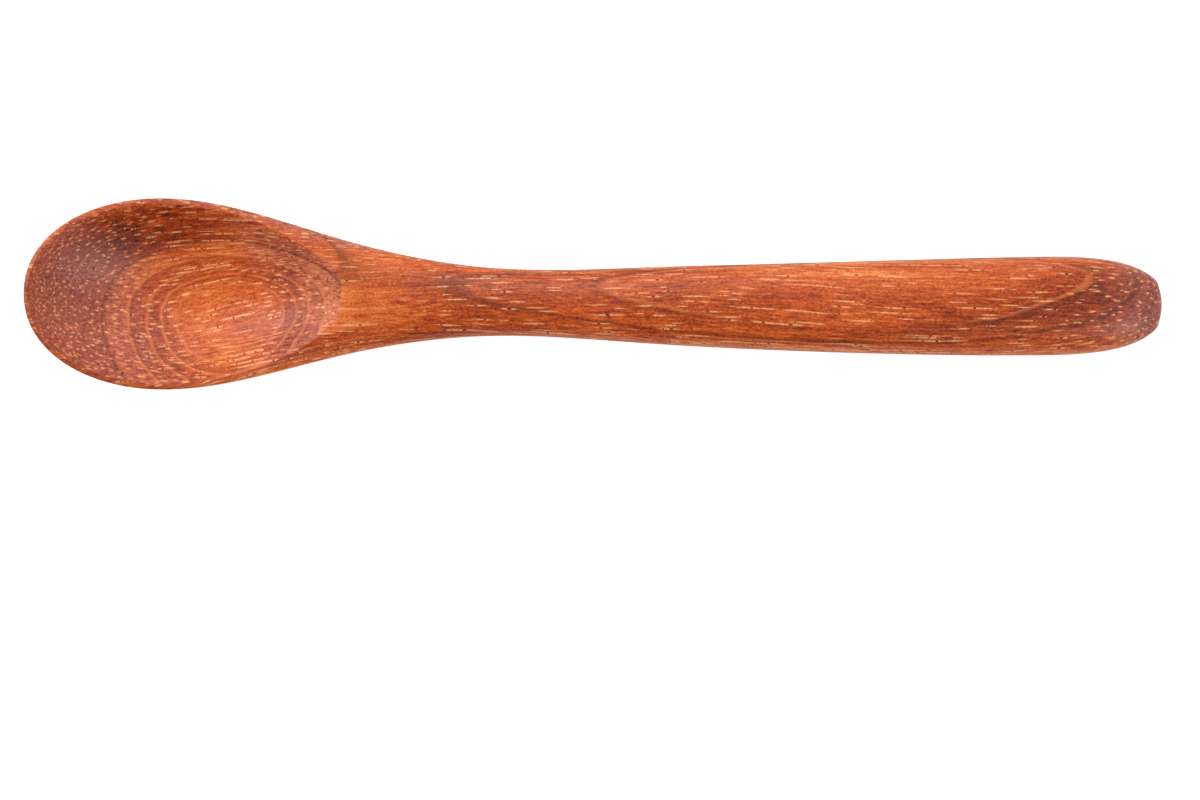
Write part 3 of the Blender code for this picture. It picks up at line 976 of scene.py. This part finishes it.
@dataclass
class Studio:
    """The pale table, the soft light and the camera straight above, as in the photograph."""

    # The photograph is 1200 by 800 pixels and shows 0.1318 mm a pixel. The spoon's middle lies at x = 592.5
    # and its bowl's axis at y = 294, counted from the picture's top left corner.
    picture_width: float = 1200.0
    picture_height: float = 800.0
    pixel: float = 0.1318 * MM
    spoon_middle: Pair = (592.5, 294.0)
    lens: float = 200.0
    sensor: float = 36.0
    focus_height: float = 9.0 * MM
    # The bowl's tip is nearer to the camera than the handle's end, which moves the outline this far
    perspective_shift: float = -0.52 * MM
    table_size: float = 8.0
    room_light: float = 0.41
    # How bright the room's walls are at the picture's bottom, where 1 is their level at its top, and how
    # bright a reflection finds them at its bottom and at its top
    near_wall: float = 0.38
    walls_reflected: Pair = (0.05, 1.9)
    # Each lamp's name, place, size and power: the key from the picture's top left, and a weak one from its
    # bottom right that lays a soft gloss on the slope inside the bowl's tip
    lamps: tuple[tuple[str, tuple[float, float, float], float, float], ...] = (
        ("soft_key", (-0.42, 0.5, 0.56), 0.5, 5.5), ("soft_fill", (0.66, -0.45, 0.5), 0.35, 4.0))

    def build(self, laminate: bpy.types.Material) -> None:
        """Set up the table in its material, the lights and the camera."""
        self.lay_table(laminate)
        self.light()
        self.aim_camera()

    def lay_table(self, laminate: bpy.types.Material) -> None:
        """Lay the table's top at z = 0.

        Args:
            laminate: Its material.
        """
        half = self.table_size / 2.0
        mesh = bpy.data.meshes.new("table_top")
        corners = [(-half, -half, 0.0), (half, -half, 0.0), (half, half, 0.0), (-half, half, 0.0)]
        mesh.from_pydata(corners, [], [(0, 1, 2, 3)])
        mesh.materials.append(laminate)
        table = in_scene("table_top", mesh)
        LOG.info("table top: %.1f m square", self.table_size)

    def light(self) -> None:
        """Light the room, which is brighter at the picture's top than at its bottom, and set up the lamps.

        The camera sees the whole room white, and reflections find walls of their own brightness.
        """
        world = bpy.data.worlds.new("white_room")
        bpy.context.scene.world = world
        node = fresh_nodes(world)
        # From -1 at the picture's bottom to 1 at its top
        across = node("SeparateXYZ", node("TexCoord", out="Generated"), out="Y")
        straight, mirrored = rays_seen(node)
        wall = node("MapRange", across, -0.8, 0.8, self.near_wall, 1.0)
        reflected = node("MapRange", across, -0.3, 1.0, *self.walls_reflected)
        wall = node("Mix", mirrored, wall, reflected)
        wall = node("Math MAXIMUM", wall, straight)
        level = node("MapRange", node("Math MAXIMUM", straight, mirrored), 0.0, 1.0, self.room_light, 1.0)
        strength = node("Math MULTIPLY", level, wall)
        node("OutputWorld", node("Background", (1.0, 1.0, 1.0, 1.0), strength))
        for name, (x, y, z), size, power in self.lamps:
            light = bpy.data.lights.new(name, "AREA")
            light.shape = "SQUARE"
            light.size = size
            light.energy = power
            lamp = in_scene(name, light)
            lamp.location = (x, y, z)
            # Turned to point roughly at the spoon's middle
            lamp.rotation_euler = (-atan2(y, z), atan2(x, hypot(y, z)), 0.0)

    def aim_camera(self) -> None:
        """Put the camera straight above, so that the spoon lies in the frame as in the photograph."""
        lens = bpy.data.cameras.new("overhead")
        lens.lens = self.lens
        lens.sensor_width = self.sensor
        camera = in_scene("overhead", lens)
        away = self.picture_width * self.pixel / self.sensor * self.lens
        camera.location = (
            (self.picture_width / 2.0 - self.spoon_middle[0]) * self.pixel + self.perspective_shift,
            (self.spoon_middle[1] - self.picture_height / 2.0) * self.pixel,
            self.focus_height + away)
        bpy.context.scene.camera = camera


def main() -> None:
    """Build the spoon and the studio round it."""
    logging.basicConfig(level=logging.INFO, format="%(name)s: %(message)s")
    bpy.context.scene.view_settings.view_transform = "Standard"
    spoon = Spoon().build(OiledHardwood().build())
    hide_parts("spoon")
    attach(spoon, "root")
    LOG.info("carved spoon: %d points, %d faces", len(spoon.data.vertices), len(spoon.data.polygons))
    Studio().build(SeamlessTable().build())
    LOG.info("studio: room light, two soft lamps and overhead camera")
    bpy.context.view_layer.update()


if __name__ == "__main__":
    main()
